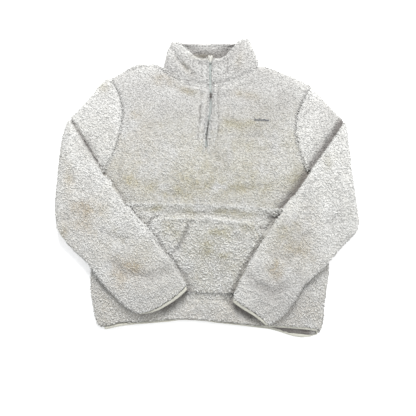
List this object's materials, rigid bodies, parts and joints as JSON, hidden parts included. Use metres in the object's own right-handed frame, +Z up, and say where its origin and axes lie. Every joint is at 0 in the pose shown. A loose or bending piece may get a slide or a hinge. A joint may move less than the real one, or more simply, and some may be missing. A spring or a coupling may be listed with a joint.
{
  "type": "sherpa fleece pullover",
  "caption": "Sherpa fleece quarter-zip pullover with a stand collar and a kangaroo pocket, lying flat and face up with both sleeves folded in across the front.",
  "frame": {"origin": "on the resting surface, under the middle of the garment's bounding box", "axes": "+X towards the wearer's left, +Y from the hem to the collar, +Z up, out of the garment's front"},
  "size_m": [0.7284, 0.7072, 0.0377],
  "materials": {
    "sherpa_fleece": "deep curly pile, cream with beige nap",
    "elastic_binding": "ribbed stretch binding, cream",
    "zip_tape": "woven tape, off-white",
    "zip_coil": "moulded nylon coil, pale mint white",
    "slider_enamel": "cream enamel on cast metal"
  },
  "bodies": {
    "root": {"back_panel": "sherpa_fleece", "front_upper": "sherpa_fleece", "front_lower": "sherpa_fleece", "kangaroo_pocket": "sherpa_fleece", "sleeve_right": "sherpa_fleece", "sleeve_left": "sherpa_fleece", "collar": "sherpa_fleece", "cuff_binding_right": "elastic_binding", "cuff_binding_left": "elastic_binding", "hem_binding": "elastic_binding", "zip_tape_right": "zip_tape", "zip_tape_left": "zip_tape", "zip_chain": "zip_coil", "zip_slider": "slider_enamel"}
  },
  "joints": []
}
